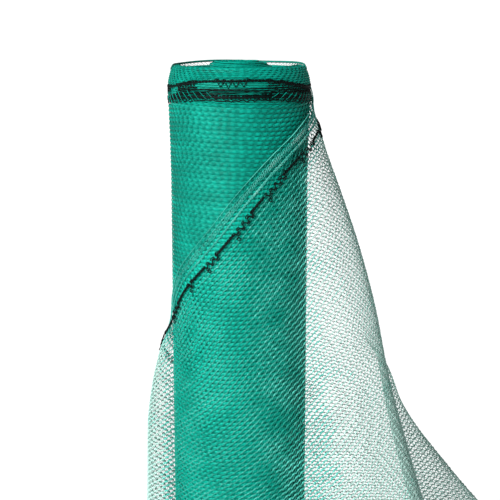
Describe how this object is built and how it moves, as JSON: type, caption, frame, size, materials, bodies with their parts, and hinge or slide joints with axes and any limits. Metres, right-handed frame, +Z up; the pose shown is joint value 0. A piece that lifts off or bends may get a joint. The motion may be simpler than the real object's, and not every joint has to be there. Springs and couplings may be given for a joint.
{
  "type": "roll of windbreak netting",
  "caption": "Standing roll of green knitted windbreak netting, black looped edge braid round its top, with a loose end draped round it to the floor in soft folds.",
  "frame": {"origin": "on the roll's axis, on the surface that it stands on", "axes": "+Z up along the roll's axis, +X to the side where the loose end swings out, -Y towards the viewer of the picture"},
  "size_m": [0.4061, 0.236, 0.5032],
  "materials": {
    "net_wound": "knitted polyethylene yarn, many layers, soft sheen",
    "net_loose": "open knitted polyethylene net, one layer",
    "braid": "black looped edge yarn"
  },
  "bodies": {
    "root": {"net_roll": "net_wound", "loose_net": "net_loose", "edge_braid_turn_1": "braid", "edge_braid_turn_2": "braid", "edge_braid_loose": "braid"}
  },
  "joints": []
}
